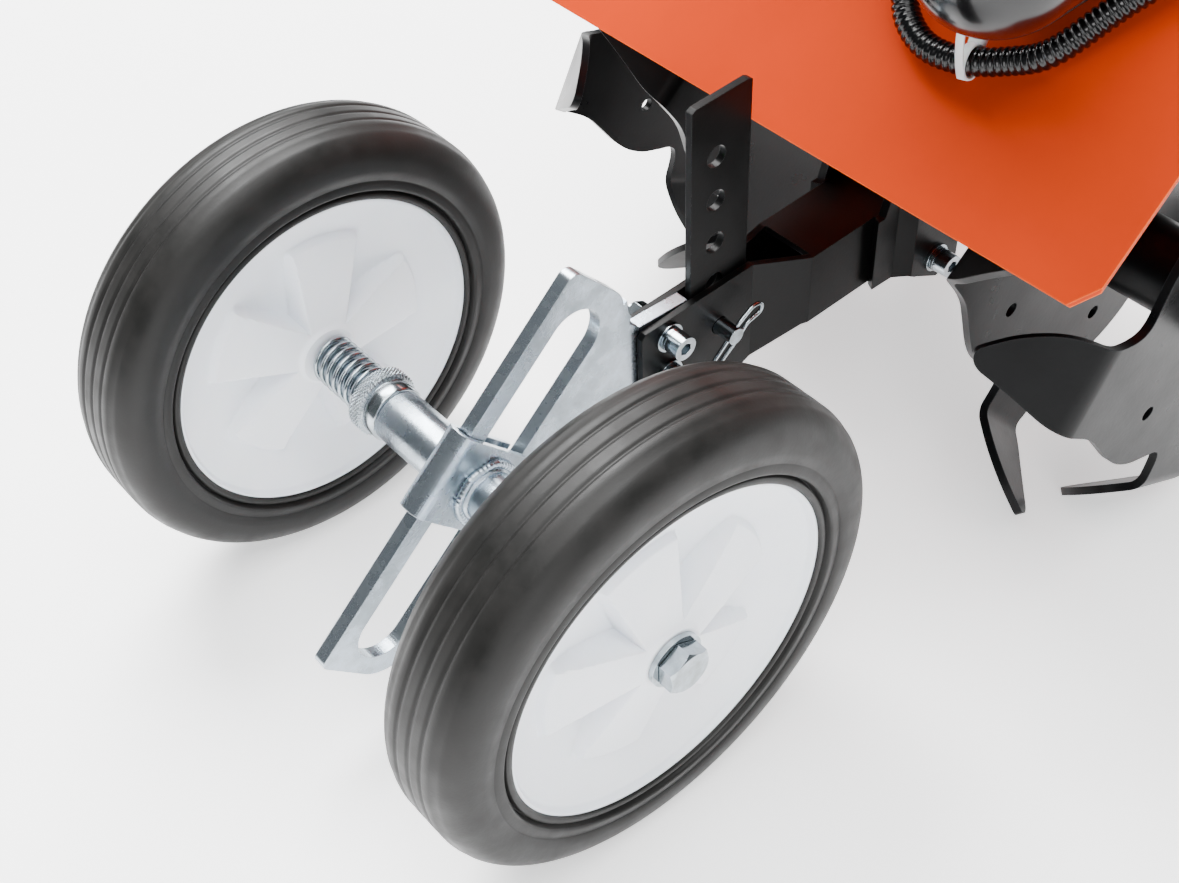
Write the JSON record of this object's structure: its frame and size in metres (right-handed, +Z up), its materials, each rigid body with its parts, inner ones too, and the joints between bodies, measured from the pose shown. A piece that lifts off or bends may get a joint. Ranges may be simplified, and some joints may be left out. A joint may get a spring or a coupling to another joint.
{
  "type": "mini cultivator",
  "caption": "Petrol mini cultivator with tine rotor, orange guard, handlebar, drag bar with depth stake and two transport wheels on a sprung carriage in a slotted plate.",
  "frame": {"origin": "on the ground, midway along and across the machine", "axes": "+X to the machine's right, +Y the way it travels, +Z up"},
  "size_m": [0.439, 0.7463, 0.8694],
  "materials": {
    "tyre_rubber": "satin solid rubber",
    "disc_plastic": "moulded white plastic",
    "zinc_steel": "blue-white zinc plating",
    "black_steel": "satin black paint",
    "tine_steel": "dark satin paint",
    "guard_paint": "orange powder coat",
    "cast_alloy": "fine cast aluminium",
    "gear_bronze": "cut bronze",
    "black_plastic": "textured black plastic",
    "gloss_black": "gloss black plastic",
    "red_plastic": "red plastic",
    "white_plastic": "translucent white nylon",
    "exhaust_steel": "heat-proof dark paint",
    "ceramic": "glazed ceramic and steel",
    "grip_rubber": "soft ribbed rubber"
  },
  "bodies": {
    "frame": {"slotted_plate": "zinc_steel", "bracket_fasteners": "zinc_steel", "drag_bar": "black_steel", "bar_side_plates": "black_steel", "flange_bolts": "zinc_steel", "clevis_pin": "zinc_steel", "gearbox_left": "cast_alloy", "gearbox_right": "cast_alloy", "gearbox_bolts": "zinc_steel", "shaft_bearings": "zinc_steel", "shaft_seals": "black_plastic", "guard": "guard_paint", "guard_bolts": "zinc_steel", "clutch_housing": "cast_alloy", "crankcase": "cast_alloy", "cylinder": "cast_alloy", "engine_cowl": "guard_paint", "muffler": "exhaust_steel", "spark_plug": "ceramic", "plug_cap": "black_plastic", "carburettor": "cast_alloy", "air_filter_cover": "black_plastic", "fuel_tank": "gloss_black", "starter_cover": "black_plastic", "handle_stem": "black_steel", "stem_bolts": "zinc_steel", "handlebar": "black_steel", "grips": "grip_rubber", "throttle_housing": "black_plastic", "control_conduit": "gloss_black", "cable_ties": "white_plastic"},
    "carriage": {"carriage_sleeve": "zinc_steel", "slot_bush": "zinc_steel", "axle_bolt": "zinc_steel", "axle_fasteners": "zinc_steel"},
    "wheel_left": {"tyre_left": "tyre_rubber", "wheel_disc_left": "disc_plastic"},
    "wheel_right": {"tyre_right": "tyre_rubber", "wheel_disc_right": "disc_plastic"},
    "collar": {"lock_collar": "zinc_steel", "lock_spring": "zinc_steel"},
    "stake": {"depth_stake": "black_steel"},
    "clip": {"r_clip": "zinc_steel"},
    "rotor": {"tine_set_left": "tine_steel", "tine_set_right": "tine_steel", "tine_shaft": "zinc_steel", "tine_lock_pins": "zinc_steel", "worm_wheel": "gear_bronze"},
    "worm_shaft": {"worm": "zinc_steel", "clutch_drum": "zinc_steel"},
    "crank": {"crankshaft": "zinc_steel", "clutch_shoes": "gear_bronze", "flywheel": "cast_alloy"},
    "pulley": {"recoil_pulley": "white_plastic"},
    "pull_handle": {"starter_handle": "black_plastic"},
    "filler_cap": {"fuel_cap": "black_plastic"},
    "choke": {"choke_lever": "red_plastic"},
    "throttle": {"throttle_lever": "red_plastic"},
    "dead_man": {"safety_lever": "black_plastic"},
    "stop_button": {"stop_switch": "red_plastic"}
  },
  "joints": [
    {"name": "carriage_slide", "type": "slide", "parent": "frame", "child": "carriage", "axis": [0, 0.757, 0.6534], "range_m": [-0.068, 0.054]},
    {"name": "wheel_left_spin", "type": "hinge", "parent": "carriage", "child": "wheel_left", "pos_m": [0, -0.02, 0.1], "axis": [1, 0, 0], "continuous": true},
    {"name": "wheel_right_spin", "type": "hinge", "parent": "carriage", "child": "wheel_right", "pos_m": [0, -0.02, 0.1], "axis": [1, 0, 0], "continuous": true},
    {"name": "collar_pull", "type": "slide", "parent": "carriage", "child": "collar", "axis": [-1, 0, 0], "range_m": [0, 0.008], "stiffness_N_per_m": 900, "springref_m": -0.004, "deforming": ["lock_spring"]},
    {"name": "stake_height", "type": "slide", "parent": "frame", "child": "stake", "axis": [0, 0, 1], "range_m": [-0.0621, 0.0621]},
    {"name": "clip_draw", "type": "slide", "parent": "frame", "child": "clip", "axis": [0, 0.7431, 0.6691], "range_m": [0, 0.03]},
    {"name": "rotor_spin", "type": "hinge", "parent": "frame", "child": "rotor", "pos_m": [0, 0.242, 0.115], "axis": [1, 0, 0], "continuous": true},
    {"name": "worm_spin", "type": "hinge", "parent": "frame", "child": "worm_shaft", "pos_m": [0, 0.274, 0.115], "axis": [0, 0, 1], "continuous": true},
    {"name": "crank_spin", "type": "hinge", "parent": "frame", "child": "crank", "pos_m": [0, 0.274, 0.3532], "axis": [0, 0, 1], "continuous": true},
    {"name": "pulley_turn", "type": "hinge", "parent": "frame", "child": "pulley", "pos_m": [0, 0.274, 0.4033], "axis": [0, 0, 1], "range_deg": [0, 108], "stiffness_Nm_per_rad": 0.15, "springref_deg": -28.65},
    {"name": "starter_pull", "type": "slide", "parent": "frame", "child": "pull_handle", "axis": [1, 0, 0], "range_m": [0, 0.0868]},
    {"name": "cap_lift", "type": "slide", "parent": "frame", "child": "filler_cap", "axis": [0, 0, 1], "range_m": [0, 0.03]},
    {"name": "choke_turn", "type": "hinge", "parent": "frame", "child": "choke", "pos_m": [-0.0488, 0.1958, 0.3532], "axis": [1, 0, 0], "range_deg": [-70, 0]},
    {"name": "throttle_squeeze", "type": "hinge", "parent": "frame", "child": "throttle", "pos_m": [0.1783, -0.24953, 0.78524], "axis": [-0.9759, -0.2181, 0], "range_deg": [0, 16], "stiffness_Nm_per_rad": 0.3, "springref_deg": -20.05},
    {"name": "dead_man_press", "type": "hinge", "parent": "frame", "child": "dead_man", "pos_m": [0.17558, -0.23733, 0.83983], "axis": [0.9759, 0.2181, 0], "range_deg": [0, 14.5], "stiffness_Nm_per_rad": 0.3, "springref_deg": -20.05},
    {"name": "stop_press", "type": "slide", "parent": "frame", "child": "stop_button", "axis": [-0.9759, -0.2181, 0], "range_m": [0, 0.002], "stiffness_N_per_m": 800, "springref_m": -0.002}
  ],
  "couplings": [
    {"joint": "worm_spin", "follows": "rotor_spin", "ratio": 30},
    {"joint": "starter_pull", "follows": "pulley_turn", "m_per_rad": 0.046}
  ]
}
